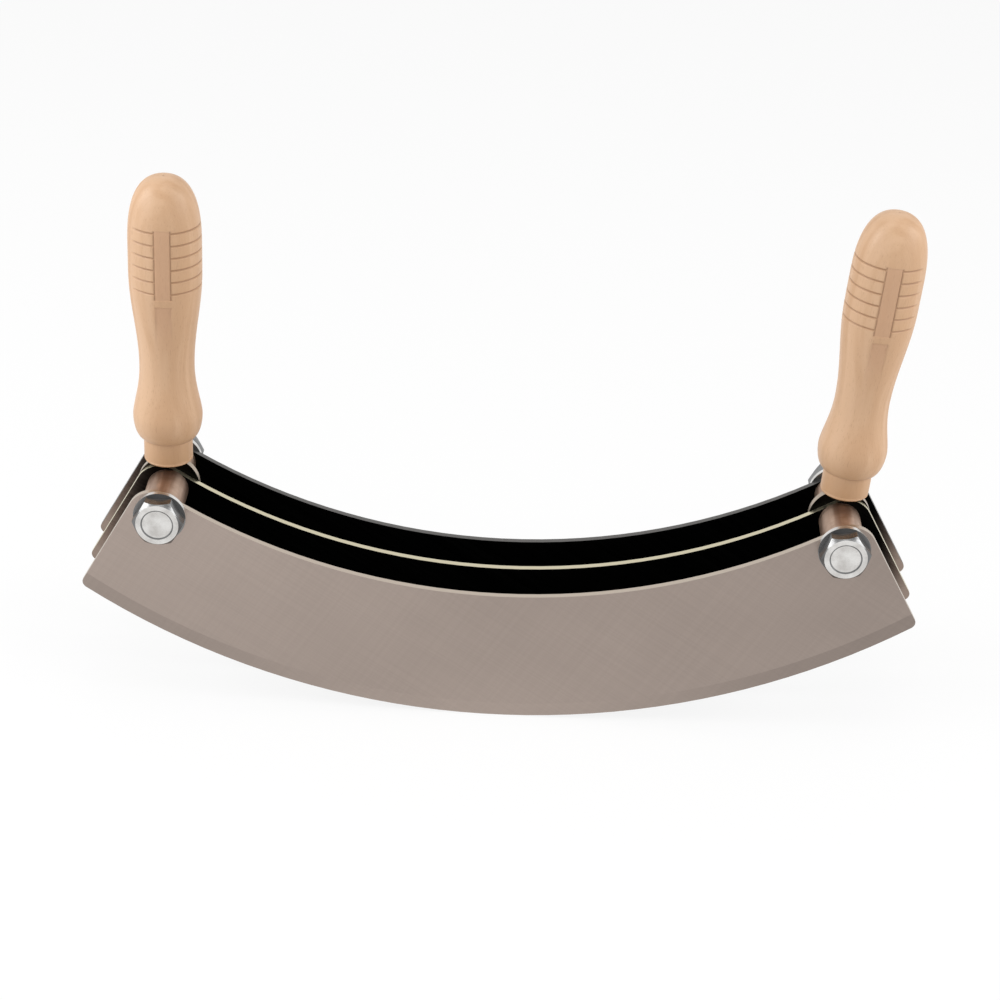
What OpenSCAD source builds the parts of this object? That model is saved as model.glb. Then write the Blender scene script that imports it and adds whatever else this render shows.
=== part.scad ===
// Three-bladed mezzaluna: equal crescent blades side by side, bolted together, with two turned grips.
// X runs along the blades, Y across them from front to back, and Z is up.
// The origin is under the middle blade, on the surface that the three curved edges stand on.

/* [Blades] */
// Radius of the curved cutting edge
edge_r = 284.3; // [275:0.1:300]
// Radius of the hollow upper edge
top_r = 242.9; // [235:0.1:250]
// Depth of a blade at its middle
blade_h = 54; // [50:0.5:58]
// From the middle to a tip, before the tip is rounded
tip_x = 161.25; // [157:0.25:166]
// Slope of the straight end, in degrees from level
end_slope = 61; // [58:0.5:64]
// Rounding of a tip
tip_r = 3; // [1:0.25:4]
// Rounding of the upper corner
corner_r = 9.5; // [7:0.25:11]
// Thickness of a blade
blade_t = 2.5; // [2:0.1:3.2]
// Width of the ground bevel along the cutting edge
bevel_w = 6; // [4:0.5:8]
// Thickness left at the cutting edge
edge_t = 0.4; // [0.2:0.1:0.8]
// Clear gap between neighbouring blades
gap = 19.5; // [16:0.5:24]

/* [Bolts] */
// Diameter of a bolt's shank
bolt_d = 10; // [8:0.5:10.5]
// From a bolt's axis to the slanted end of the blade
bolt_to_end = 11.9; // [11:0.1:14]
// From a bolt's axis to the hollow upper edge
bolt_to_top = 7.8; // [7.5:0.1:10]
// Size of the hexagon across its flats, on heads and nuts
hex_flats = 17; // [15:0.5:19]
// Height of a bolt head
head_h = 6.4; // [5:0.1:8]
// Height of a nut
nut_h = 8; // [6:0.5:10]
// Length of bolt that stands out of the nut
bolt_tail = 3; // [1.5:0.5:6]
// Chamfer at the end of a bolt
tail_chamfer = 1; // [0.5:0.25:1.25]
// Turn of the left bolt head, in degrees from flat on top
left_head_turn = 0; // [0:1:59]
// Turn of the right bolt head, in degrees from flat on top
right_head_turn = 8; // [0:1:59]
// Clearance of a bolt in its holes, on the diameter
hole_clear = 0.4; // [0.2:0.1:1]
// Clearance of a nut's bore on the bolt, on the diameter
thread_clear = 0.1; // [0.05:0.05:0.2]

/* [Washers and spacers] */
// Diameter of a washer
washer_d = 20; // [18:0.5:21]
// Thickness of a washer
washer_t = 2; // [1:0.1:3]
// Outer diameter of a spacer tube
spacer_d = 16; // [14:0.5:18]

/* [Tangs] */
// Radius of the eye round the bolt
eye_r = 12; // [10:0.25:13]
// Thickness of the tang
tang_t = 3; // [2:0.25:4]
// Width of the tang where it leaves the eye
tang_w = 12; // [9:0.5:14]
// Width of the tang at its upper end
tang_tip_w = 8; // [6:0.5:9]
// Length of the tang from the bolt's axis to its upper end
tang_len = 88; // [60:1:100]
// Clearance of the tang in the wood, on each side
tang_clear = 0.15; // [0.1:0.05:0.3]

/* [Grips] */
// Depth that the eye is let into the end of the wood
eye_seat = 0.7; // [0.25:0.05:1.5]
// Radius of the neck at the lower end
neck_r = 9.3; // [8.5:0.1:10]
// Length of the neck
neck_len = 9.7; // [6:0.1:14]
// Radius of the bulge above the neck
bulge_r = 13.2; // [12:0.1:14]
// Height of the round underside of the bulge
bulge_len = 9.5; // [6:0.5:12]
// Radius of the waist
waist_r = 10.4; // [9.5:0.1:11.5]
// Length of the hollow from the bulge to the waist
fall_len = 20.5; // [15:0.5:26]
// Radius of the thick upper part
grip_r = 13.75; // [12.5:0.05:15]
// Length of the swell from the waist to the thick part
rise_len = 39; // [30:0.5:46]
// Length of the straight thick part
full_len = 10; // [6:0.5:16]
// Height of the dome at the top
dome_len = 27; // [20:0.5:32]
// Fullness of the dome, where 2 is an ellipse
dome_power = 2.6; // [2:0.1:3.2]
// Rounding of the neck's lower rim
rim_r = 0.8; // [0.4:0.1:1.2]
// Outward lean of the left grip, in degrees
left_lean = 0; // [0:0.2:8]
// Outward lean of the right grip, in degrees
right_lean = 4.4; // [0:0.2:8]

/* [Hidden] */
left = -1;
right = 1;
fine = 96;
finer = 288;
// How far a cutting shape runs past what it cuts
over = 2;
steel = [0.66, 0.61, 0.57];
zinc = [0.80, 0.79, 0.76];
beech = [0.85, 0.70, 0.54];

// Places along the bolts
pitch = blade_t + gap;
front_face = -pitch - blade_t / 2;
back_face = pitch + blade_t / 2;
head_seat = front_face - washer_t;
nut_seat = back_face + washer_t;
bolt_end = nut_seat + nut_h + bolt_tail;
eye_mid = blade_t / 2 + tang_t / 2;
hole_d = bolt_d + hole_clear;

// The slanted end of a blade: its tip, its direction upwards and its direction into the blade
tip = [tip_x, edge_r - sqrt(edge_r * edge_r - tip_x * tip_x)];
end_up = [-cos(end_slope), sin(end_slope)];
end_in = [-sin(end_slope), -cos(end_slope)];
top_mid = blade_h + top_r;

// The point that lies inset from the slanted end and at a radius from a centre on the middle line
function end_point(inset, mid, r) =
    let (w = tip + inset * end_in - [0, mid], b = w * end_up)
    tip + inset * end_in + (-b - sqrt(b * b - w * w + r * r)) * end_up;

corner = end_point(0, top_mid, top_r);
corner_mid = end_point(corner_r, top_mid, top_r + corner_r);
corner_seat = [0, top_mid] + (corner_mid - [0, top_mid]) * top_r / (top_r + corner_r);
tip_mid = end_point(tip_r, edge_r, edge_r - tip_r);
tip_seat = [0, edge_r] + (tip_mid - [0, edge_r]) * edge_r / (edge_r - tip_r);
bolt_at = end_point(bolt_to_end, top_mid, top_r + bolt_to_top);

// Heights along a grip, from the bolt's axis
wood_from = eye_r - eye_seat;
neck_to = wood_from + neck_len;
bulge_at = neck_to + bulge_len;
waist_at = bulge_at + fall_len;
full_at = waist_at + rise_len;
dome_at = full_at + full_len;
apex_at = dome_at + dome_len;
// Hollow below one makes the bulge fall away quickly
hollow = 0.75;

function ease(w) = (1 - cos(180 * w)) / 2;
function blend(a, b, w) = a + (b - a) * w;

// Radius of a grip at a height along it
function grip_at(s) =
    s < neck_to ? neck_r :
    s < bulge_at ? neck_r + (bulge_r - neck_r) * sqrt(1 - pow((bulge_at - s) / bulge_len, 2)) :
    s < waist_at ? blend(bulge_r, waist_r, ease(pow((s - bulge_at) / fall_len, hollow))) :
    s < full_at ? blend(waist_r, grip_r, ease((s - waist_at) / rise_len)) :
    s < dome_at ? grip_r :
    grip_r * pow(max(0, 1 - pow((s - dome_at) / dome_len, dome_power)), 1 / dome_power);

bulge_steps = 8;
fall_steps = 10;
rise_steps = 12;
dome_steps = 14;
grip_heights = concat(
    [for (i = [0 : bulge_steps]) neck_to + bulge_len * (1 - cos(90 * i / bulge_steps))],
    [for (i = [1 : fall_steps]) bulge_at + fall_len * i / fall_steps],
    [for (i = [1 : rise_steps]) waist_at + rise_len * i / rise_steps],
    [for (i = [0 : dome_steps]) dome_at + dome_len * sin(90 * i / dome_steps)]);
grip_outline = concat(
    [[0, wood_from], [neck_r - rim_r, wood_from], [neck_r, wood_from + rim_r]],
    [for (s = grip_heights) [grip_at(s), s]]);

// Places what is drawn along Z on a bolt's axis, at a distance from the middle blade
module on_bolt(side, y) {
    translate([side * bolt_at[0], y, bolt_at[1]])
        rotate([-90, 0, 0])
            children();
}

// Places what is drawn upwards from the bolt's axis in the plane of the tang
module on_tang(side, lean) {
    translate([side * bolt_at[0], eye_mid, bolt_at[1]])
        rotate([0, side * lean, 0])
            children();
}

// A flat outline of X and Z, made into a plate across Y
module plate(thick) {
    rotate([90, 0, 0])
        linear_extrude(height = thick, center = true)
            children();
}

// The disc that a blade is cut from, with its rim ground on both faces
module ground_disc() {
    half = blade_t / 2;
    translate([0, 0, edge_r])
        rotate([90, 0, 0])
            rotate_extrude($fn = finer)
                polygon([[0, -half], [edge_r - bevel_w, -half], [edge_r, -edge_t / 2],
                    [edge_r, edge_t / 2], [edge_r - bevel_w, half], [0, half]]);
}

// The outline between the two slanted ends
module between_ends() {
    low = -over;
    high = corner[1] + over;
    low_x = tip[0] + (tip[1] - low) / tan(end_slope);
    high_x = tip[0] - (high - tip[1]) / tan(end_slope);
    polygon([[-low_x, low], [low_x, low], [high_x, high], [-high_x, high]]);
}

// What a rounding takes off a corner whose round has its middle at mid
module corner_waste(mid, point, seat, r) {
    on_line = mid - r * end_in;
    outside = mid + 1.3 * (point - mid);
    difference() {
        polygon([mid, on_line, outside, seat]);
        translate(mid)
            circle(r = r, $fn = fine);
    }
}

module blade(y) {
    color(steel)
        translate([0, y, 0])
            difference() {
                intersection() {
                    ground_disc();
                    plate(blade_t + 2 * over) between_ends();
                }
                translate([0, 0, top_mid])
                    rotate([90, 0, 0])
                        cylinder(r = top_r, h = blade_t + 2 * over, center = true, $fn = finer);
                for (side = [left, right])
                    mirror([side == left ? 1 : 0, 0, 0])
                        plate(blade_t + 2 * over) {
                            corner_waste(corner_mid, corner, corner_seat, corner_r);
                            corner_waste(tip_mid, tip, tip_seat, tip_r);
                        }
                for (side = [left, right])
                    on_bolt(side, 0)
                        cylinder(d = hole_d, h = blade_t + 2 * over, center = true, $fn = fine);
            }
}

// The flat tang above its eye, larger by grow on every side
module tang_outline(grow) {
    half = tang_w / 2 + grow;
    tip_half = tang_tip_w / 2 + grow;
    polygon([[-half, 0], [half, 0], [half, wood_from], [tip_half, tang_len + grow],
        [-tip_half, tang_len + grow], [-half, wood_from]]);
}

module tang(side, lean) {
    color(steel)
        on_tang(side, lean)
            plate(tang_t)
                difference() {
                    union() {
                        circle(r = eye_r, $fn = fine);
                        tang_outline(0);
                    }
                    circle(d = hole_d, $fn = fine);
                }
}

module handle(side, lean) {
    color(beech)
        on_tang(side, lean)
            difference() {
                rotate_extrude($fn = fine)
                    polygon(grip_outline);
                plate(tang_t + 2 * tang_clear)
                    tang_outline(tang_clear);
            }
}

// A hexagon prism of height h, flat side up, with its outer face rounded off at the corners
module hexagon(h, turn) {
    corners_d = hex_flats / cos(30);
    face_d = hex_flats * 0.95;
    slope = tan(30);
    intersection() {
        rotate([0, 0, turn])
            cylinder(d = corners_d, h = h, $fn = 6);
        rotate_extrude($fn = fine)
            polygon([[0, 0], [corners_d / 2 + over, 0],
                [corners_d / 2 + over, h - (corners_d / 2 + over - face_d / 2) * slope],
                [face_d / 2, h], [0, h]]);
    }
}

module bolt(side, turn) {
    shank = bolt_end - head_seat;
    color(zinc)
        on_bolt(side, head_seat)
            union() {
                mirror([0, 0, 1]) hexagon(head_h, turn);
                rotate_extrude($fn = fine)
                    polygon([[0, 0], [bolt_d / 2, 0], [bolt_d / 2, shank - tail_chamfer],
                        [bolt_d / 2 - tail_chamfer, shank], [0, shank]]);
            }
}

// A flat ring or a tube along the bolt
module ring(side, from, to, outer) {
    color(zinc)
        on_bolt(side, from)
            difference() {
                cylinder(d = outer, h = to - from, $fn = fine);
                translate([0, 0, -over])
                    cylinder(d = hole_d, h = to - from + 2 * over, $fn = fine);
            }
}

module nut(side) {
    color(zinc)
        on_bolt(side, nut_seat)
            difference() {
                hexagon(nut_h, 0);
                translate([0, 0, -over])
                    cylinder(d = bolt_d + thread_clear, h = nut_h + 2 * over, $fn = fine);
            }
}

module front_blade() { blade(-pitch); }
module middle_blade() { blade(0); }
module back_blade() { blade(pitch); }
module left_tang() { tang(left, left_lean); }
module right_tang() { tang(right, right_lean); }
module left_handle() { handle(left, left_lean); }
module right_handle() { handle(right, right_lean); }
module left_bolt() { bolt(left, left_head_turn); }
module right_bolt() { bolt(right, right_head_turn); }
module left_head_washer() { ring(left, head_seat, front_face, washer_d); }
module right_head_washer() { ring(right, head_seat, front_face, washer_d); }
module left_front_spacer() { ring(left, front_face + blade_t, -blade_t / 2, spacer_d); }
module right_front_spacer() { ring(right, front_face + blade_t, -blade_t / 2, spacer_d); }
module left_rear_spacer() { ring(left, eye_mid + tang_t / 2, back_face - blade_t, spacer_d); }
module right_rear_spacer() { ring(right, eye_mid + tang_t / 2, back_face - blade_t, spacer_d); }
module left_nut_washer() { ring(left, back_face, nut_seat, washer_d); }
module right_nut_washer() { ring(right, back_face, nut_seat, washer_d); }
module left_nut() { nut(left); }
module right_nut() { nut(right); }

front_blade();
middle_blade();
back_blade();
left_tang();
right_tang();
left_handle();
right_handle();
left_bolt();
right_bolt();
left_head_washer();
right_head_washer();
left_front_spacer();
right_front_spacer();
left_rear_spacer();
right_rear_spacer();
left_nut_washer();
right_nut_washer();
left_nut();
right_nut();
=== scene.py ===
"""Looks of a three-bladed mezzaluna: ground steel crescents, plated bolts and turned, carved beech grips."""

import logging
import math
from dataclasses import dataclass
from enum import Enum

import bpy
import numpy as np
from mathutils import Matrix, Vector

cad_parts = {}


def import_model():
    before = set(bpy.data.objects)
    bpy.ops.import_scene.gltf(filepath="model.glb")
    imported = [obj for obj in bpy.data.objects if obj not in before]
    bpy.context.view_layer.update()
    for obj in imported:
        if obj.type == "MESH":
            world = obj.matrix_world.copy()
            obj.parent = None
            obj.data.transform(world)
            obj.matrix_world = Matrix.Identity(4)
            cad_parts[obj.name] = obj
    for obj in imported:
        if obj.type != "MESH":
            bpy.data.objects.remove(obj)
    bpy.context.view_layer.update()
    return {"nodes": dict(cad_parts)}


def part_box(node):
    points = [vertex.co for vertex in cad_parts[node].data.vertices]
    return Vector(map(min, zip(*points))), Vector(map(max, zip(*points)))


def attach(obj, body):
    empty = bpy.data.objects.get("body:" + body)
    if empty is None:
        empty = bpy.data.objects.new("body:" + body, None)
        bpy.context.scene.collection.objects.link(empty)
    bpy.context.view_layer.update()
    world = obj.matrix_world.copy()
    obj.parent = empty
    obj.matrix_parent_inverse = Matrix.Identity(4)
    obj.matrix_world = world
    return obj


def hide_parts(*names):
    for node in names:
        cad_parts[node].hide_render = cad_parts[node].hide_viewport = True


LOG = logging.getLogger("mezzaluna")
MM = 0.001
BODY = "root"
BREAK_ANGLE = 40.0
BREAK_SEGMENTS = 2

Colour = tuple[float, float, float]
Triple = tuple[float, float, float]
Span = tuple[float, float]


class Side(Enum):
    """The two ends of the tool, with the sign of X at each."""

    LEFT = -1
    RIGHT = 1


class Face(Enum):
    """Which broad face of a blade keeps the ground steel's colour, as the sign of Y that it faces; the other
    broad faces get painted shade.
    """

    FRONT = -1
    NEITHER = 0
    BACK = 1


@dataclass(frozen=True)
class Pattern:
    """A noise stretched along the axes: cells to the metre, turn in degrees and octaves of detail."""

    cells: Triple
    turn: Triple = (0.0, 0.0, 0.0)
    detail: float = 2.0


@dataclass(frozen=True)
class Fade:
    """A smooth change from low to high, which may be the smaller of the two, with the results at each."""

    low: float
    high: float
    to: Span = (0.0, 1.0)


class Shader:
    """Builds one node material with short calls."""

    def __init__(self, name: str, metallic: float, specular: float = 0.5) -> None:
        """Starts an empty material with a Principled shader.

        Args:
            name: the material's name.
            metallic: how metallic the surface is.
            specular: the specular level of a surface that is no metal.
        """
        self.material = bpy.data.materials.new(name)
        self.material.use_nodes = True
        self.tree = self.material.node_tree
        self.tree.nodes.clear()
        out = self.tree.nodes.new("ShaderNodeOutputMaterial")
        self.surface = self.tree.nodes.new("ShaderNodeBsdfPrincipled")
        self.surface.inputs["Metallic"].default_value = metallic
        self.surface.inputs["Specular IOR Level"].default_value = specular
        self.link(self.surface.outputs["BSDF"], out.inputs["Surface"])
        self.place = self.tree.nodes.new("ShaderNodeTexCoord").outputs["Object"]

    def link(self, source: bpy.types.NodeSocket, target: bpy.types.NodeSocket) -> None:
        """Joins two sockets."""
        self.tree.links.new(source, target)

    def feed(self, target: bpy.types.NodeSocket, value: object) -> None:
        """Links a socket, or sets a plain value.

        Args:
            target: the input socket.
            value: a socket or a number.
        """
        if isinstance(value, bpy.types.NodeSocket):
            self.link(value, target)
        else:
            target.default_value = value

    def maths(self, kind: str, a: object, b: object = 0.0) -> bpy.types.NodeSocket:
        """Adds one Math node.

        Args:
            kind: the operation's name.
            a: the first value or socket.
            b: the second value or socket.

        Returns:
            The result's socket.
        """
        node = self.tree.nodes.new("ShaderNodeMath")
        node.operation = kind
        self.feed(node.inputs[0], a)
        self.feed(node.inputs[1], b)
        return node.outputs[0]

    def ramp(self, value: bpy.types.NodeSocket, fade: Fade) -> bpy.types.NodeSocket:
        """Maps a value smoothly from one range to another.

        Args:
            value: the socket to map.
            fade: where the change starts and ends, and the results there.

        Returns:
            The result's socket.
        """
        node = self.tree.nodes.new("ShaderNodeMapRange")
        node.interpolation_type = "SMOOTHSTEP"
        self.link(value, node.inputs["Value"])
        node.inputs["From Min"].default_value = fade.low
        node.inputs["From Max"].default_value = fade.high
        node.inputs["To Min"].default_value = fade.to[0]
        node.inputs["To Max"].default_value = fade.to[1]
        return node.outputs["Result"]

    def split(self, vector: bpy.types.NodeSocket) -> bpy.types.NodeOutputs:
        """Returns the X, Y and Z sockets of a vector."""
        node = self.tree.nodes.new("ShaderNodeSeparateXYZ")
        self.link(vector, node.inputs[0])
        return node.outputs

    def facing(self) -> bpy.types.NodeSocket:
        """Returns how squarely the surface faces along Y, from -1 to 1."""
        normal = self.tree.nodes.new("ShaderNodeNewGeometry").outputs["Normal"]
        return self.split(normal)[1]

    def noise(self, pattern: Pattern) -> bpy.types.NodeSocket:
        """Adds a noise.

        Args:
            pattern: its cells, turn and detail.

        Returns:
            The noise's value.
        """
        aim = self.tree.nodes.new("ShaderNodeMapping")
        aim.vector_type = "TEXTURE"
        aim.inputs["Rotation"].default_value = [math.radians(angle) for angle in pattern.turn]
        aim.inputs["Scale"].default_value = [1 / cells for cells in pattern.cells]
        self.link(self.place, aim.inputs["Vector"])
        node = self.tree.nodes.new("ShaderNodeTexNoise")
        node.inputs["Scale"].default_value = 1.0
        node.inputs["Detail"].default_value = pattern.detail
        self.link(aim.outputs[0], node.inputs["Vector"])
        return node.outputs["Fac"]

    def mix(self, share: object, a: object, b: object, kind: str = "MIX") -> bpy.types.NodeSocket:
        """Mixes two colours.

        Args:
            share: how much of the second colour shows.
            a: the first colour or socket.
            b: the second colour or socket.
            kind: the blend type.

        Returns:
            The mixed colour's socket.
        """
        node = self.tree.nodes.new("ShaderNodeMix")
        node.data_type = "RGBA"
        node.blend_type = kind
        self.feed(node.inputs[0], share)
        for index, value in ((6, a), (7, b)):
            if isinstance(value, tuple):
                value = (*value, 1.0)
            self.feed(node.inputs[index], value)
        return node.outputs[2]

    def attribute(self, name: str) -> bpy.types.NodeSocket:
        """Returns the value of a mesh attribute."""
        node = self.tree.nodes.new("ShaderNodeAttribute")
        node.attribute_name = name
        return node.outputs["Fac"]

    def bump(self, height: bpy.types.NodeSocket, depth: float) -> None:
        """Adds a fine relief.

        Args:
            height: the relief's height, from 0 to 1.
            depth: its real depth in metres.
        """
        node = self.tree.nodes.new("ShaderNodeBump")
        node.inputs["Strength"].default_value = 1.0
        node.inputs["Distance"].default_value = depth
        self.link(height, node.inputs["Height"])
        self.link(node.outputs["Normal"], self.surface.inputs["Normal"])

    def finish(self, colour: object, roughness: object) -> bpy.types.Material:
        """Sets the surface's colour and roughness.

        Args:
            colour: a colour or socket.
            roughness: a value or socket.

        Returns:
            The finished material.
        """
        if isinstance(colour, tuple):
            colour = (*colour, 1.0)
        self.feed(self.surface.inputs["Base Color"], colour)
        self.feed(self.surface.inputs["Roughness"], roughness)
        return self.material


@dataclass(frozen=True)
class BladeSteel:
    """Blade steel: satin ground steel on the outer faces, painted shade, nearly black, on the inner faces and
    the tangs' faces, lifting towards the tips, and painted light and shade on the blades' cut edges.
    """

    ground: Colour = (0.405, 0.335, 0.295)
    # Painted shade, nearly black, for the inner faces and the tangs, and the lighter colour it lifts to at
    # the tips.
    painted_shade: Colour = (0.006, 0.006, 0.0055)
    painted_shade_tips: Colour = (0.31, 0.24, 0.20)
    edge_r: float = 284.3 * MM
    bevel_w: float = 6.0 * MM
    bevel_soft: float = 0.2 * MM
    relief: float = 0.012 * MM
    scratch: Pattern = Pattern((14, 40, 1500), turn=(0, 32, 0), detail=3.0)
    cross: Pattern = Pattern((9, 40, 700), turn=(0, -58, 0))
    cloud: Pattern = Pattern((9, 9, 14), detail=3.0)
    # Painted shade, growing towards the right of the blades.
    right_side_shade: Fade = Fade(-0.15, 0.15, (1.0, 0.82))
    scratch_tone: Fade = Fade(0.35, 0.65, (0.97, 1.03))
    cross_tone: Fade = Fade(0.35, 0.7, (0.99, 1.02))
    cloud_tone: Fade = Fade(0.3, 0.7, (0.95, 1.05))
    bevel_tone: Fade = Fade(0.03, 0.13, (1.04, 0.84))
    # Where the painted shade lifts towards each tip.
    left_tip: Fade = Fade(-0.134, -0.156)
    right_tip: Fade = Fade(0.145, 0.160)
    bright_share: Fade = Fade(0.3, 0.6)
    cut_share: Fade = Fade(0.9, 0.6)
    roughness: Fade = Fade(0.3, 0.7, (0.30, 0.44))

    def make(self, name: str, bright: Face, cut: Colour) -> bpy.types.Material:
        """Makes the steel of one blade or tang.

        Args:
            name: the material's name.
            bright: which broad face keeps the ground steel's colour; the other broad faces get painted shade.
            cut: the colour of its cut edges, which on the three blades is painted light and shade, one tint
                per blade.

        Returns:
            The material.
        """
        shader = Shader(name, metallic=1.0)
        across = shader.facing()
        x, _, z = shader.split(shader.place)[:3]
        scratch = shader.noise(self.scratch)
        # Painted shade towards the right, multiplied with the random tones.
        tone = shader.ramp(x, self.right_side_shade)
        for noise, fade in ((scratch, self.scratch_tone),
                            (shader.noise(self.cross), self.cross_tone),
                            (shader.noise(self.cloud), self.cloud_tone)):
            tone = shader.maths("MULTIPLY", tone, shader.ramp(noise, fade))
        height = shader.maths("SUBTRACT", z, self.edge_r)
        square = shader.maths("ADD", shader.maths("MULTIPLY", x, x), shader.maths("MULTIPLY", height, height))
        radius = shader.maths("SQRT", square)
        bevel_r = self.edge_r - self.bevel_w
        bevel = shader.ramp(radius, Fade(bevel_r - self.bevel_soft, bevel_r + self.bevel_soft))
        # On the edge bevel, a little brighter in the middle and duller towards the ends.
        bevel_fade = shader.ramp(shader.maths("ABSOLUTE", x), self.bevel_tone)
        change = shader.maths("MULTIPLY", bevel, shader.maths("SUBTRACT", bevel_fade, 1.0))
        tone = shader.maths("MULTIPLY", tone, shader.maths("ADD", 1.0, change))
        ground = shader.mix(1.0, self.ground, tone, "MULTIPLY")
        # Painted shade on the broad faces that do not keep the ground steel's colour, lifting towards the
        # tips.
        tips = shader.maths("MAXIMUM", shader.ramp(x, self.left_tip), shader.ramp(x, self.right_tip))
        painted_shade = shader.mix(tips, self.painted_shade, self.painted_shade_tips)
        if bright is Face.NEITHER:
            flat = painted_shade
        else:
            share = shader.ramp(shader.maths("MULTIPLY", across, float(bright.value)), self.bright_share)
            flat = shader.mix(share, painted_shade, ground)
        # The cut edges take the given colour, on the blades a painted light and shade.
        cut_share = shader.ramp(shader.maths("ABSOLUTE", across), self.cut_share)
        colour = shader.mix(cut_share, flat, cut)
        shader.bump(scratch, self.relief)
        return shader.finish(colour, shader.ramp(scratch, self.roughness))


@dataclass(frozen=True)
class PlatedSteel:
    """Zinc plate, slightly clouded, with painted reflections as streaks along Y where streak is set."""

    plate: Colour = (0.74, 0.73, 0.71)
    warm: Colour = (0.50, 0.48, 0.46)
    streak: float = 0.0
    streak_from: float = 0.42
    streak_full: float = 0.62
    relief: float = 0.03 * MM
    cloud: Pattern = Pattern((160, 160, 160), detail=4.0)
    turned: Pattern = Pattern((60, 2600, 60), detail=1.0)
    reflection_streaks: Pattern = Pattern((420, 12, 420))
    cloud_share: Fade = Fade(0.35, 0.75)
    flat_share: Fade = Fade(0.5, 0.8)
    added_roughness: Fade = Fade(0.3, 0.7, (0.0, 0.12))

    def make(self, name: str, roughness: float, flat: Colour | None = None) -> bpy.types.Material:
        """Makes the plate.

        Args:
            name: the material's name.
            roughness: how rough the plate is at its smoothest.
            flat: a painted shade colour for faces square to Y, where one is given.

        Returns:
            The material.
        """
        shader = Shader(name, metallic=1.0)
        cloud = shader.noise(self.cloud)
        turned = shader.noise(self.turned)
        colour = shader.mix(shader.ramp(cloud, self.cloud_share), self.plate, self.warm)
        # Painted reflections: streaks along Y, towards the warm colour.
        if self.streak:
            streaks = Fade(self.streak_from, self.streak_full, (0.0, self.streak))
            colour = shader.mix(shader.ramp(shader.noise(self.reflection_streaks), streaks), colour, self.warm)
        # Painted shade on the faces square to Y.
        if flat is not None:
            across = shader.maths("ABSOLUTE", shader.facing())
            colour = shader.mix(shader.ramp(across, self.flat_share), colour, flat)
        shader.bump(cloud, self.relief)
        added = shader.ramp(turned, self.added_roughness)
        return shader.finish(colour, shader.maths("ADD", roughness, added))


@dataclass(frozen=True)
class BeechWood:
    """Pale beech with upright pores and soft growth bands, a little deeper in tone on the carved strip, with
    painted shade in the cut lines and on the neck.
    """

    pale: Colour = (0.61, 0.395, 0.245)
    deep: Colour = (0.54, 0.33, 0.19)
    pore: Colour = (0.33, 0.18, 0.095)
    carved: Colour = (0.50, 0.29, 0.18)
    # Painted shade for the neck and the underside of the bulge.
    neck: Colour = (0.47, 0.265, 0.13)
    specular: float = 0.42
    strip_share: float = 0.45
    # Painted shade in the cut lines.
    groove_shade_share: float = 0.85
    relief: float = 0.05 * MM
    growth: Pattern = Pattern((90, 260, 9), detail=3.0)
    fleck: Pattern = Pattern((2600, 2600, 330), detail=1.0)
    pores: Pattern = Pattern((3600, 3600, 190), turn=(0, 1.5, 0), detail=1.0)
    growth_share: Fade = Fade(0.35, 0.68)
    fleck_share: Fade = Fade(0.62, 0.78, (0.0, 0.30))
    pore_share: Fade = Fade(0.66, 0.78, (0.0, 0.35))
    neck_shade_share: Fade = Fade(0.034, 0.012, (0.0, 0.6))
    roughness: Fade = Fade(0.3, 0.7, (0.40, 0.50))

    def make(self, name: str) -> bpy.types.Material:
        """Makes the wood, whose grain runs along the piece's own Z axis.

        Args:
            name: the material's name.

        Returns:
            The material.
        """
        shader = Shader(name, metallic=0.0, specular=self.specular)
        growth = shader.noise(self.growth)
        fleck = shader.noise(self.fleck)
        pores = shader.noise(self.pores)
        colour = shader.mix(shader.ramp(growth, self.growth_share), self.pale, self.deep)
        colour = shader.mix(shader.ramp(fleck, self.fleck_share), colour, self.pore)
        colour = shader.mix(shader.ramp(pores, self.pore_share), colour, self.pore)
        # Painted shade on the neck and under the bulge, fading out above it.
        height = shader.split(shader.place)[2]
        colour = shader.mix(shader.ramp(height, self.neck_shade_share), colour, self.neck)
        # The carved strip is a little deeper in tone; the cut lines get painted shade, mixed towards the pore
        # colour.
        for label, share, tint in (("strip", self.strip_share, self.carved),
                                   ("groove", self.groove_shade_share, self.pore)):
            colour = shader.mix(shader.maths("MULTIPLY", shader.attribute(label), share), colour, tint)
        shader.bump(shader.maths("ADD", fleck, pores), self.relief)
        return shader.finish(colour, shader.ramp(growth, self.roughness))


@dataclass
class Blades:
    """The three crescents and the two tangs, which keep their solid shapes and get their steel."""

    edge_break: float = 0.12 * MM
    # Painted light and shade on the blades' cut edges, one tint per blade: pinkish light on the front, a
    # cream highlight on the middle, deep grey shade on the back.
    front_cut_light: Colour = (0.50, 0.43, 0.36)
    middle_cut_highlight: Colour = (0.60, 0.55, 0.40)
    back_cut_shade: Colour = (0.12, 0.115, 0.11)
    tang_cut: Colour = (0.42, 0.35, 0.28)
    finish: BladeSteel = BladeSteel()

    def dress(self, nodes: dict[str, bpy.types.Object]) -> None:
        """Gives each blade and tang its material.

        Args:
            nodes: the solids by name.
        """
        # The middle blade and the tangs get painted shade on both broad faces; the front and back blades on
        # their inner faces.
        steels = {
            "front_blade": (Face.FRONT, self.front_cut_light),
            "middle_blade": (Face.NEITHER, self.middle_cut_highlight),
            "back_blade": (Face.BACK, self.back_cut_shade),
            "left_tang": (Face.NEITHER, self.tang_cut),
            "right_tang": (Face.NEITHER, self.tang_cut),
        }
        for name, (bright, cut) in steels.items():
            paint(nodes[name], self.finish.make("steel_" + name, bright, cut), self.edge_break)
            LOG.info("%s: steel, bright face %s", name, bright.name)


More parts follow.
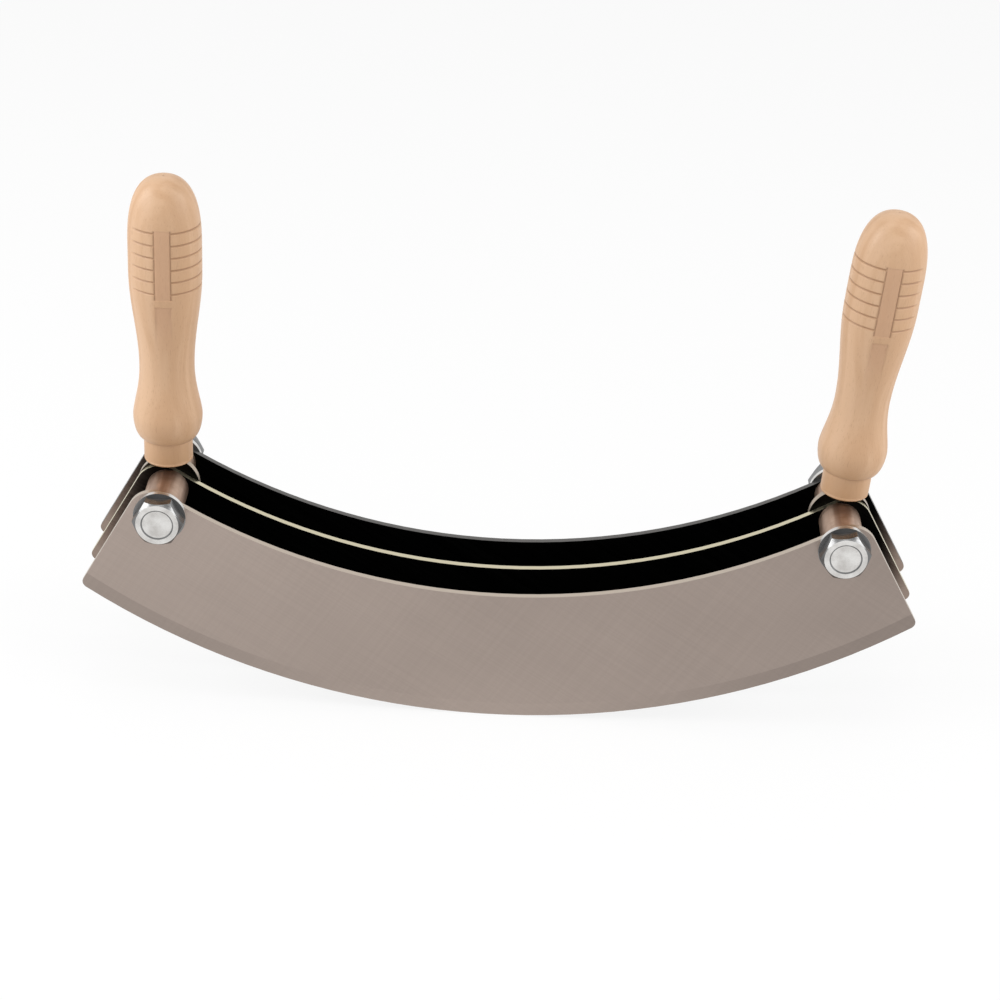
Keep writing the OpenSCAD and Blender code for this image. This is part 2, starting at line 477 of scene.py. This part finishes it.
@dataclass
class Fasteners:
    """Bolts, nuts, washers and spacer tubes, with their plates, a deeper grey copy of the zinc plate as
    painted shade, and how rough each is.
    """

    edge_break: float = 0.15 * MM
    head_turn: Span = (0.0, 8.0)
    bright_rough: float = 0.16
    shaded_rough: float = 0.2
    washer_rough: float = 0.2
    tube_rough: float = 0.38
    plate: PlatedSteel = PlatedSteel()
    # A deeper grey copy of the zinc plate: painted shade on the nuts, the washers' faces and the bolt heads'
    # ring, chamfer, sides and seat.
    shade: PlatedSteel = PlatedSteel(plate=(0.21, 0.21, 0.21), warm=(0.12, 0.12, 0.12))
    # The spacer tubes carry painted reflections as streaks along their length.
    tube: PlatedSteel = PlatedSteel(plate=(0.50, 0.36, 0.275), warm=(0.34, 0.225, 0.165), streak=0.8)

    def dress(self, nodes: dict[str, bpy.types.Object]) -> None:
        """Gives the nuts, washers and tubes their plate, and makes the bolts.

        Args:
            nodes: the solids by name.
        """
        bright = self.plate.make("zinc_plate", self.bright_rough)
        # Painted shade: the nuts and the bolt heads' ring, chamfer, sides and seat get this deeper grey copy
        # of the plate.
        shaded = self.shade.make("zinc_painted_shade", self.shaded_rough)
        # The washers: bright plate on their rims, painted shade on their faces.
        rimmed = self.plate.make("zinc_washer", self.washer_rough, flat=self.shade.plate)
        dull = self.tube.make("tube_plate", self.tube_rough)
        # A nut washer is a washer, so washers are looked for before nuts.
        plates = (("washer", rimmed, 0.0), ("nut", shaded, self.edge_break), ("spacer", dull, 0.0))
        for name, node in nodes.items():
            for word, material, edge_break in plates:
                if word in name:
                    paint(node, material, edge_break)
                    LOG.info("%s: %s", name, material.name)
                    break
        for side, turn in zip(Side, self.head_turn):
            Bolt(side.name.lower(), turn).build(bright, shaded)


def ring_mesh(name: str, rings: list[tuple[np.ndarray, np.ndarray]], angles: np.ndarray,
              sharp: float) -> bpy.types.Mesh:
    """Makes a closed mesh round the Y axis from rings. Its faces are wound to face inwards.

    Args:
        name: the mesh's name.
        rings: for each ring its radius and its place along Y at every angle, in millimetres.
        angles: the angles of a ring's points, in radians.
        sharp: the angle between two faces from which their edge is sharp, in degrees.

    Returns:
        The mesh, in metres.
    """
    count = len(angles)
    points = [np.stack([r * np.sin(angles), y, r * np.cos(angles)], -1) for r, y in rings]
    ends = np.array([[0, rings[0][1].mean(), 0], [0, rings[-1][1].mean(), 0]])
    points = np.concatenate([*points, ends]) * MM
    faces: list[tuple[int, ...]] = []
    for ring in range(len(rings) - 1):
        for column in range(count):
            a = ring * count + column
            b = ring * count + (column + 1) % count
            faces.append((a, a + count, b + count, b))
    near, far = len(rings) * count, len(rings) * count + 1
    last = near - count
    for column in range(count):
        following = (column + 1) % count
        faces.append((near, column, following))
        faces.append((far, last + following, last + column))
    mesh = bpy.data.meshes.new(name)
    mesh.from_pydata(points.tolist(), [], faces)
    mesh.shade_smooth()
    mesh.set_sharp_from_angle(angle=math.radians(sharp))
    return mesh


@dataclass
class Bolt:
    """A hexagon bolt, from the ringed face of its head to its threaded end, in millimetres and degrees."""

    word: str
    turn: float
    flats: float = 17.0
    sector: float = 60.0
    face_r: float = 8.15
    ring_r: float = 6.2
    ring_w: float = 0.55
    dish_depth: float = 0.35
    chamfer: float = 50.0
    soft: float = 0.15
    soft_drop: float = 0.05
    sharp: float = 25.0
    shank_r: float = 5.0
    end_break: float = 1.0
    pitch: float = 1.5
    thread_depth: float = 0.85
    thread_slope: float = 1.2
    thread_crest: float = 0.1
    thread_step: float = 0.15
    angle_step: float = 2.5
    # Rows of faces with the painted shade: the ring's wall, the chamfer, the head's sides and its seat.
    shaded_rings: tuple[int, ...] = (1, 4, 5, 6)

    def rings(self, angles: np.ndarray) -> list[tuple[np.ndarray, np.ndarray]]:
        """Works out the bolt's rings between the ends that the frame gives.

        Args:
            angles: the angles of a ring's points, in radians.

        Returns:
            The radius and the place along Y of each ring's points, in millimetres.
        """
        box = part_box(self.word + "_bolt")
        top, end = box[0].y / MM, box[1].y / MM
        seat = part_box(self.word + "_head_washer")[0].y / MM
        nut_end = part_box(self.word + "_nut")[1].y / MM
        full = np.ones_like(angles)
        local = (np.degrees(angles) + self.turn + self.sector / 2) % self.sector - self.sector / 2
        hexagon = self.flats / 2 / np.cos(np.radians(local))
        drop = np.maximum(hexagon - self.face_r, 0) * math.tan(math.radians(self.chamfer))
        dish_r = self.ring_r - self.ring_w
        rings = [
            (full * dish_r / 2, full * (top + self.dish_depth)),
            (full * dish_r, full * (top + self.dish_depth)),
            (full * self.ring_r, full * top),
            (full * (self.face_r - self.soft), full * top),
            (full * self.face_r, full * (top + self.soft_drop)),
            (hexagon, top + drop + self.soft_drop),
            (hexagon, full * seat),
            (full * self.shank_r, full * seat),
            (full * self.shank_r, full * nut_end),
        ]
        for y in np.arange(nut_end + self.thread_step, end - self.thread_step / 2, self.thread_step):
            phase = (y / self.pitch - angles / (2 * math.pi)) % 1
            groove = np.clip(self.thread_slope * (1 - np.abs(2 * phase - 1)) - self.thread_crest, 0, 1)
            cone = self.shank_r - max(0.0, y - end + self.end_break)
            rings.append((np.minimum(self.shank_r - self.thread_depth * groove, cone), full * y))
        rings.append((full * (self.shank_r - self.end_break - self.soft), full * end))
        return rings

    def build(self, bright: bpy.types.Material, shaded: bpy.types.Material) -> None:
        """Makes the bolt in place of its solid.

        Args:
            bright: the plate of the face and the threads.
            shaded: a deeper grey copy of the plate, painted shade on the ring, the chamfer, the head's sides
                and its seat.
        """
        name = self.word + "_hex_bolt"
        angles = np.radians(np.arange(0, 360, self.angle_step))
        bolt = bpy.data.objects.new(name, ring_mesh(name, self.rings(angles), angles, self.sharp))
        bpy.context.scene.collection.objects.link(bolt)
        bolt.data.materials.append(bright)
        bolt.data.materials.append(shaded)
        for polygon in bolt.data.polygons:
            if polygon.index // len(angles) in self.shaded_rings:
                polygon.material_index = 1
        low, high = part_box(self.word + "_bolt")
        bolt.location = ((low.x + high.x) / 2, 0, (low.z + high.z) / 2)
        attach(bolt, BODY)
        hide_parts(self.word + "_bolt")
        LOG.info("%s: %d points", name, len(bolt.data.vertices))


def smooth(value: np.ndarray, low: float, high: float) -> np.ndarray:
    """Rises smoothly from 0 at low to 1 at high, which may be the smaller of the two.

    Args:
        value: where to work it out.
        low: where it is 0.
        high: where it is 1.

    Returns:
        The smooth step.
    """
    share = np.clip((value - low) / (high - low), 0, 1)
    return share * share * (3 - 2 * share)


@dataclass
class Carving:
    """The lines cut round the thick part of a grip, and the plain strip that breaks them."""

    first: float = 85.2
    pitch: float = 4.8
    count: int = 6
    depth: float = 0.5
    half_width: float = 0.55
    line_end: float = 0.2
    strip_width: float = 6.1
    strip_low: float = 83.0
    strip_high: float = 110.5
    strip_sink: float = 0.12
    strip_end: float = 0.6
    strip_edge: float = 0.1
    side_share: float = 0.8
    ledge: float = 80.0
    ledge_edge: float = 0.35
    ledge_full: float = 2.0
    ledge_fade: float = 22.0
    ledge_sink: float = 0.35
    reach: Span = (58.0, 100.0)
    fade: float = 12.0

    def cut(self, s: np.ndarray, angle: np.ndarray,
            radius: np.ndarray) -> tuple[np.ndarray, np.ndarray, np.ndarray]:
        """Works out the carving at points of the surface.

        Args:
            s: heights along the grip, in millimetres.
            angle: degrees from the middle of the strip, from -180 to 180.
            radius: the plain radius at each height.

        Returns:
            The depth cut away, the share that is strip and the share that is groove.
        """
        back = np.abs(angle) > 90
        local = np.where(back, np.sign(angle) * 180 - angle, angle)
        arc = np.abs(np.radians(local) * radius)
        half = self.strip_width / 2
        reach = np.where(local < 0, self.reach[0], self.reach[1])
        beside = np.clip((arc - half) / self.line_end, 0, 1)
        beside = beside * np.clip((reach - np.abs(local)) / self.fade, 0, 1)
        lines = np.zeros_like(s)
        for index in range(self.count):
            away = np.abs(s - self.first - index * self.pitch)
            lines = np.maximum(lines, 1 - away / self.half_width)
        lines = np.clip(lines, 0, 1) * beside
        inside = smooth(s, self.strip_low - self.strip_end, self.strip_low)
        inside = inside * smooth(s, self.strip_high, self.strip_high - self.strip_end)
        sides = np.clip(1 - np.abs(arc - half) / (self.side_share * self.half_width), 0, 1) * inside
        within = smooth(arc, half + self.strip_edge, half - self.strip_edge)
        ledge = within * smooth(s, self.ledge, self.ledge - self.ledge_edge)
        ledge = ledge * smooth(s, self.ledge - self.ledge_fade, self.ledge - self.ledge_full)
        strip = np.maximum(within * inside, ledge)
        groove = np.maximum(lines, sides)
        sunk = np.maximum(within * inside * self.strip_sink, ledge * self.ledge_sink)
        return np.maximum(groove * self.depth, sunk), strip, groove


@dataclass
class Grip:
    """One turned and carved grip, with its lengths in millimetres along its own axis from the bolt."""

    side: Side
    lean: float
    strip_turn: float
    carving: Carving
    bolt: Triple = (129.77, 2.75, 82.38)
    wood_from: float = 11.3
    neck_len: float = 9.7
    bulge_len: float = 9.5
    fall_len: float = 20.5
    rise_len: float = 39.0
    full_len: float = 10.0
    dome_len: float = 27.0
    neck_r: float = 9.3
    bulge_r: float = 13.2
    waist_r: float = 10.4
    grip_r: float = 13.75
    dome_power: float = 2.6
    hollow: float = 0.75
    rim_r: float = 0.8
    segments: int = 288
    fine_step: float = 0.14
    coarse_step: float = 0.7
    fine_over: float = 1.0
    rim_rings: int = 6
    neck_rings: int = 12
    under_rings: int = 24
    dome_rings: int = 46
    dome_crowding: float = 1.6
    neck_gap: float = 0.05
    dome_gap: float = 0.1
    tip_gap: float = 0.0005

    @property
    def neck_to(self) -> float:
        """Where the straight neck ends."""
        return self.wood_from + self.neck_len

    @property
    def bulge_at(self) -> float:
        """Where the bulge over the neck is thickest."""
        return self.neck_to + self.bulge_len

    @property
    def waist_at(self) -> float:
        """Where the waist is thinnest."""
        return self.bulge_at + self.fall_len

    @property
    def full_at(self) -> float:
        """Where the grip is as thick as it gets."""
        return self.waist_at + self.rise_len

    @property
    def dome_at(self) -> float:
        """Where the domed end starts."""
        return self.full_at + self.full_len

    @property
    def apex(self) -> float:
        """Where the domed end closes."""
        return self.dome_at + self.dome_len

    def radius(self, s: np.ndarray) -> np.ndarray:
        """Returns the plain turned radius at heights along the grip."""
        under = np.sqrt(np.clip(1 - ((self.bulge_at - s) / self.bulge_len) ** 2, 0, 1))
        fall = np.clip((s - self.bulge_at) / self.fall_len, 0, 1) ** self.hollow
        rise = np.clip((s - self.waist_at) / self.rise_len, 0, 1)
        dome = np.clip((s - self.dome_at) / self.dome_len, 0, 1)
        radius = np.full_like(s, self.neck_r)
        radius = np.where(s > self.neck_to, self.neck_r + (self.bulge_r - self.neck_r) * under, radius)
        radius = np.where(s > self.bulge_at, self.bulge_r + (self.waist_r - self.bulge_r)
                          * (1 - np.cos(np.pi * fall)) / 2, radius)
        radius = np.where(s > self.waist_at, self.waist_r + (self.grip_r - self.waist_r)
                          * (1 - np.cos(np.pi * rise)) / 2, radius)
        domed = self.grip_r * (1 - dome ** self.dome_power) ** (1 / self.dome_power)
        return np.where(s > self.dome_at, domed, radius)

    def heights(self) -> np.ndarray:
        """Returns the heights of the rings, close together where the wood is carved.

        The first ring lies on the rim's last one, and the last ring is 0.0004 mm below the one before it.
        """
        carved_from = self.carving.ledge - self.carving.ledge_full
        carved_to = self.carving.strip_high + self.fine_over
        quarter = np.linspace(0, np.pi / 2, self.under_rings)
        under = self.neck_to + self.bulge_len * (1 - np.cos(quarter))
        turn = math.asin(((carved_to - self.dome_at) / self.dome_len) ** (self.dome_power / 2))
        crowded = (1 - np.linspace(0, 1, self.dome_rings)[:-1]) ** self.dome_crowding
        rest = (np.pi / 2 - turn) * crowded
        dome = self.dome_at + self.dome_len * np.cos(rest) ** (2 / self.dome_power)
        return np.concatenate([
            np.linspace(self.wood_from + self.rim_r, self.neck_to - self.neck_gap, self.neck_rings),
            under,
            np.arange(under[-1] + self.coarse_step, carved_from, self.coarse_step),
            np.arange(carved_from, carved_to, self.fine_step),
            dome[dome > carved_to + self.dome_gap],
            np.array([self.apex - self.tip_gap]),
        ])

    def mesh(self, name: str) -> bpy.types.Mesh:
        """Builds the grip's closed mesh.

        Args:
            name: the mesh's name.

        Returns:
            The mesh, in metres, with its strip and groove attributes.
        """
        s = self.heights()
        angle = np.linspace(-180, 180, self.segments, endpoint=False)
        grid_s, grid_a = np.meshgrid(s, angle, indexing="ij")
        plain = self.radius(grid_s)
        turned = (grid_a - self.strip_turn + 180) % 360 - 180
        depth, strip, groove = self.carving.cut(grid_s, turned, plain)
        rim = np.linspace(0, np.pi / 2, self.rim_rings)[:-1]
        rim_s = self.wood_from + self.rim_r * (1 - np.sin(rim))
        rim_radius = self.neck_r - self.rim_r * (1 - np.cos(rim))
        rim_s, rim_radius = rim_s[::-1], rim_radius[::-1]
        rows_s = np.concatenate([np.repeat(rim_s[:, None], self.segments, 1), grid_s])
        rows_r = np.concatenate([np.repeat(rim_radius[:, None], self.segments, 1), plain - depth])
        heading = np.radians(angle)[None, :]
        points = np.stack([rows_r * np.sin(heading), -rows_r * np.cos(heading), rows_s], -1).reshape(-1, 3)
        rows = len(rows_s)
        foot, tip = len(points), len(points) + 1
        ends = np.array([[0, 0, self.wood_from], [0, 0, s[-1] + self.tip_gap]])
        points = np.concatenate([points, ends]) * MM
        faces: list[tuple[int, ...]] = []
        for row in range(rows - 1):
            for column in range(self.segments):
                a = row * self.segments + column
                b = row * self.segments + (column + 1) % self.segments
                faces.append((a, b, b + self.segments, a + self.segments))
        last = foot - self.segments
        for column in range(self.segments):
            following = (column + 1) % self.segments
            faces.append((foot, following, column))
            faces.append((tip, last + column, last + following))
        mesh = bpy.data.meshes.new(name)
        mesh.from_pydata(points.tolist(), [], faces)
        mesh.shade_smooth()
        uncarved = np.zeros((len(rim_s), self.segments))
        for label, values in (("strip", strip), ("groove", groove)):
            data = np.concatenate([np.concatenate([uncarved, values]).ravel(), [0, 0]])
            layer = mesh.attributes.new(label, "FLOAT", "POINT")
            layer.data.foreach_set("value", data.astype(np.float32))
        return mesh

    def build(self, wood: bpy.types.Material) -> None:
        """Places the grip on its tang, in place of its solid.

        Args:
            wood: the grip's material.
        """
        name = self.side.name.lower() + "_carved_grip"
        grip = bpy.data.objects.new(name, self.mesh(name))
        bpy.context.scene.collection.objects.link(grip)
        grip.data.materials.append(wood)
        x, y, z = self.bolt
        place = Matrix.Translation(Vector((self.side.value * x, y, z)) * MM)
        grip.matrix_world = place @ Matrix.Rotation(math.radians(self.side.value * self.lean), 4, "Y")
        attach(grip, BODY)
        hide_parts(self.side.name.lower() + "_handle")
        LOG.info("%s: %d points", name, len(grip.data.vertices))


@dataclass(frozen=True)
class Lamp:
    """A soft square lamp: where it hangs and its side, in metres, and its power in watts."""

    name: str
    place: Triple
    size: float
    power: float

    def hang(self, aim: Vector) -> None:
        """Adds the lamp, turned towards a point.

        Args:
            aim: the point it looks at, in metres.
        """
        data = bpy.data.lights.new(self.name, "AREA")
        data.size = self.size
        data.energy = self.power
        lamp = bpy.data.objects.new(self.name, data)
        lamp.location = self.place
        lamp.rotation_euler = (aim - Vector(self.place)).to_track_quat("-Z", "Y").to_euler()
        bpy.context.scene.collection.objects.link(lamp)


@dataclass
class Studio:
    """Pale floor, white surround, soft lamps and the camera at the photograph's angle."""

    eye: Triple = (6.0, -922.4, 574.1)
    yaw: float = 0.46
    pitch: float = 28.0
    roll: float = 2.64
    lens: float = 97.4
    sensor: float = 36.0
    clip: Span = (0.05, 30.0)
    floor_size: float = 4.0
    floor_colour: Colour = (0.86, 0.86, 0.86)
    floor_glow: float = 0.85
    ambient: float = 0.55
    seen_by: tuple[str, ...] = ("Is Camera Ray", "Is Glossy Ray", "Is Transmission Ray")
    lamp_aim: Triple = (0.0, 0.0, 0.1)
    lamps: tuple[Lamp, ...] = (
        Lamp("left_lamp", place=(-1.0, -0.25, 0.65), size=0.7, power=8.5),
        Lamp("right_lamp", place=(1.0, -0.25, 0.65), size=0.7, power=7.0),
        Lamp("top_lamp", place=(0.0, -0.15, 1.3), size=0.5, power=2.5),
    )

    def camera(self) -> None:
        """Sets up the camera from its place and its three angles."""
        yaw, pitch, roll = (math.radians(angle) for angle in (self.yaw, self.pitch, self.roll))
        right = Vector((math.cos(yaw), math.sin(yaw), 0))
        level = Vector((-math.sin(yaw), math.cos(yaw), 0))
        up = Vector((0, 0, math.cos(pitch))) + level * math.sin(pitch)
        forward = level * math.cos(pitch) - Vector((0, 0, math.sin(pitch)))
        turned_right = right * math.cos(roll) + up * math.sin(roll)
        turned_up = up * math.cos(roll) - right * math.sin(roll)
        data = bpy.data.cameras.new("camera")
        data.lens = self.lens
        data.sensor_width = self.sensor
        data.clip_start, data.clip_end = self.clip
        camera = bpy.data.objects.new("camera", data)
        bpy.context.scene.collection.objects.link(camera)
        axes = Matrix((turned_right, turned_up, -forward)).transposed().to_4x4()
        camera.matrix_world = Matrix.Translation(Vector(self.eye) * MM) @ axes
        bpy.context.scene.camera = camera

    def seen(self, tree: bpy.types.NodeTree) -> bpy.types.NodeSocket:
        """Returns 1 for camera, glossy and transmission rays, and 0 for the rest."""
        path = tree.nodes.new("ShaderNodeLightPath")
        seen = path.outputs[self.seen_by[0]]
        for ray in self.seen_by[1:]:
            either = tree.nodes.new("ShaderNodeMath")
            either.operation = "MAXIMUM"
            tree.links.new(seen, either.inputs[0])
            tree.links.new(path.outputs[ray], either.inputs[1])
            seen = either.outputs[0]
        return seen

    def world(self) -> None:
        """Makes the white surround."""
        world = bpy.data.worlds.new("surround")
        world.use_nodes = True
        tree = world.node_tree
        tree.nodes.clear()
        out = tree.nodes.new("ShaderNodeOutputWorld")
        back = tree.nodes.new("ShaderNodeBackground")
        back.inputs["Color"].default_value = (1, 1, 1, 1)
        level = tree.nodes.new("ShaderNodeMapRange")
        level.inputs["To Min"].default_value = self.ambient
        level.inputs["To Max"].default_value = 1.0
        tree.links.new(self.seen(tree), level.inputs["Value"])
        tree.links.new(level.outputs["Result"], back.inputs["Strength"])
        tree.links.new(back.outputs[0], out.inputs["Surface"])
        bpy.context.scene.world = world

    def floor(self) -> None:
        """Makes the floor, nearly white to the camera but still with the object's soft shadow."""
        half = self.floor_size / 2
        points = [(-half, -half, 0), (half, -half, 0), (half, half, 0), (-half, half, 0)]
        mesh = bpy.data.meshes.new("floor")
        mesh.from_pydata(points, [], [(0, 1, 2, 3)])
        floor = bpy.data.objects.new("floor", mesh)
        bpy.context.scene.collection.objects.link(floor)
        material = bpy.data.materials.new("floor")
        material.use_nodes = True
        tree = material.node_tree
        tree.nodes.clear()
        out = tree.nodes.new("ShaderNodeOutputMaterial")
        matt = tree.nodes.new("ShaderNodeBsdfDiffuse")
        matt.inputs["Color"].default_value = (*self.floor_colour, 1)
        glow = tree.nodes.new("ShaderNodeEmission")
        glow.inputs["Color"].default_value = (1, 1, 1, 1)
        share = tree.nodes.new("ShaderNodeMath")
        share.operation = "MULTIPLY"
        share.inputs[1].default_value = self.floor_glow
        tree.links.new(self.seen(tree), share.inputs[0])
        mix = tree.nodes.new("ShaderNodeMixShader")
        tree.links.new(share.outputs[0], mix.inputs[0])
        tree.links.new(matt.outputs[0], mix.inputs[1])
        tree.links.new(glow.outputs[0], mix.inputs[2])
        tree.links.new(mix.outputs[0], out.inputs["Surface"])
        mesh.materials.append(material)

    def build(self) -> None:
        """Makes the whole studio."""
        self.camera()
        self.world()
        self.floor()
        for lamp in self.lamps:
            lamp.hang(Vector(self.lamp_aim))
        LOG.info("studio built")


def paint(node: bpy.types.Object, material: bpy.types.Material, edge_break: float) -> None:
    """Gives a solid one material and a small break along its edges.

    Args:
        node: the solid.
        material: its material.
        edge_break: width of the break in metres, or 0 for none.
    """
    node.data.materials.clear()
    node.data.materials.append(material)
    if edge_break == 0:
        return
    bevel = node.modifiers.new("edge_break", "BEVEL")
    bevel.width = edge_break
    bevel.segments = BREAK_SEGMENTS
    bevel.limit_method = "ANGLE"
    bevel.angle_limit = math.radians(BREAK_ANGLE)
    bevel.use_clamp_overlap = True
    bevel.harden_normals = True


def main() -> None:
    """Builds the looks round the frame."""
    logging.basicConfig(level=logging.INFO, format="%(name)s: %(message)s")
    bpy.context.scene.view_settings.view_transform = "Standard"
    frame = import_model()
    Studio().build()
    Blades().dress(frame["nodes"])
    Fasteners().dress(frame["nodes"])
    wood = BeechWood().make("beech")
    Grip(Side.LEFT, lean=0.0, strip_turn=3.4, carving=Carving(reach=(58.0, 100.0))).build(wood)
    Grip(Side.RIGHT, lean=4.4, strip_turn=1.1, carving=Carving(reach=(100.0, 58.0))).build(wood)


if __name__ == "__main__":
    main()
